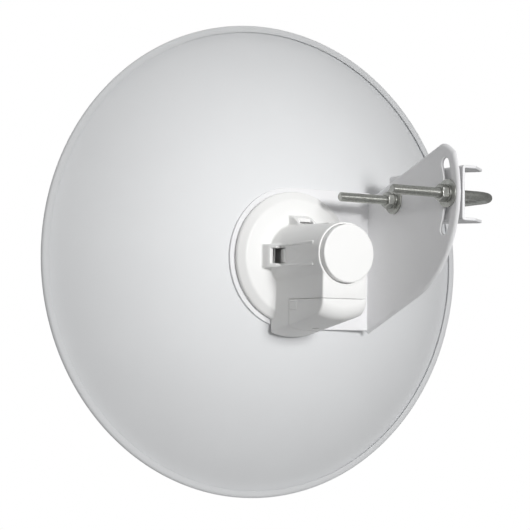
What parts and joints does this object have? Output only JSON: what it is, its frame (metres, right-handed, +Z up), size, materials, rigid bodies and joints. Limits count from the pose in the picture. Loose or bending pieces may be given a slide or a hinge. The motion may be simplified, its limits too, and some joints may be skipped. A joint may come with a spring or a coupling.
{
  "type": "outdoor wireless bridge dish",
  "caption": "Round parabolic reflector with rear radio housing, push-in centre feed, folded tilt arm and U-bolt pole clamp.",
  "frame": {"origin": "on the pole's axis at the height of the U-bolt, where a 50 mm pole would stand in the clamp", "axes": "+Z up along the pole; the dish looks along -Y; the rear housing and the arm point to +Y; the dish stands on the +X side of the pole"},
  "size_m": [0.52, 0.3039, 0.52],
  "materials": {
    "dish_paint": "satin light grey powder coat on pressed steel",
    "white_paint": "satin white powder coat on 3 mm folded steel",
    "zinc_steel": "dull zinc plate",
    "white_plastic": "fine matt moulded, UV-stable white",
    "dark_rubber": "matt black seal",
    "spring_steel": "bright drawn wire",
    "stainless_screw": "bright stainless",
    "aluminium_sheet": "plain mill finish",
    "tinned_copper": "bright tin plate",
    "board_green": "green solder mask on glass epoxy",
    "tinned_steel": "bright tin plate, drawn can",
    "thermal_grey": "soft filled silicone",
    "jack_black": "black glass-filled nylon",
    "button_grey": "grey moulded plastic"
  },
  "bodies": {
    "pole_clamp": {"pole_bracket": "white_paint", "flat_washers": "zinc_steel", "lock_washers": "zinc_steel"},
    "u_bolt": {"u_bolt": "zinc_steel"},
    "nut_front": {"nut_front": "zinc_steel"},
    "nut_rear": {"nut_rear": "zinc_steel"},
    "antenna": {"dish_reflector": "dish_paint", "mount_bracket": "white_paint", "hub_gasket": "dark_rubber", "rear_housing": "white_plastic", "feed_socket": "white_plastic", "feed_seal": "dark_rubber", "hub_screws": "stainless_screw", "radio_board": "board_green", "board_screws": "stainless_screw", "shield_can": "tinned_steel", "thermal_pad": "thermal_grey", "heat_spreader": "aluminium_sheet", "ethernet_jack": "jack_black", "button_spring": "spring_steel"},
    "release_button": {"release_button": "white_plastic"},
    "feed": {"feed_tube": "white_plastic", "feed_cap": "white_plastic", "sub_reflector": "aluminium_sheet", "waveguide": "aluminium_sheet", "radiator": "tinned_copper"},
    "port_cover": {"port_cover": "white_plastic"},
    "reset_button": {"reset_button": "button_grey"}
  },
  "joints": [
    {"name": "tilt", "type": "hinge", "parent": "pole_clamp", "child": "antenna", "pos_m": [0.038, -0.0475, 0], "axis": [1, 0, 0], "range_deg": [-19, 22]},
    {"name": "u_bolt_slide", "type": "slide", "parent": "pole_clamp", "child": "u_bolt", "axis": [-1, 0, 0], "range_m": [-0.0115, 0.034]},
    {"name": "nut_front_spin", "type": "hinge", "parent": "pole_clamp", "child": "nut_front", "pos_m": [0.048, -0.0475, 0], "axis": [1, 0, 0], "range_deg": [-2760, 8160]},
    {"name": "nut_rear_spin", "type": "hinge", "parent": "pole_clamp", "child": "nut_rear", "pos_m": [0.048, 0.0475, 0], "axis": [1, 0, 0], "range_deg": [-2760, 8160]},
    {"name": "release_button_press", "type": "slide", "parent": "antenna", "child": "release_button", "axis": [0, -1, 0], "range_m": [0, 0.0035], "stiffness_N_per_m": 400, "springref_m": -0.003, "deforming": ["button_spring"]},
    {"name": "feed_slide", "type": "slide", "parent": "antenna", "child": "feed", "axis": [0, -1, 0], "range_m": [0, 0.04]},
    {"name": "port_cover_slide", "type": "slide", "parent": "antenna", "child": "port_cover", "axis": [0, 0, -1], "range_m": [0, 0.025]},
    {"name": "reset_button_press", "type": "slide", "parent": "antenna", "child": "reset_button", "axis": [0, 0, 1], "range_m": [0, 0.0008], "stiffness_N_per_m": 300, "springref_m": -0.0008}
  ],
  "couplings": [
    {"joint": "nut_front_spin", "follows": "u_bolt_slide", "rad_per_m": 4188.8},
    {"joint": "nut_rear_spin", "follows": "u_bolt_slide", "rad_per_m": 4188.8}
  ]
}
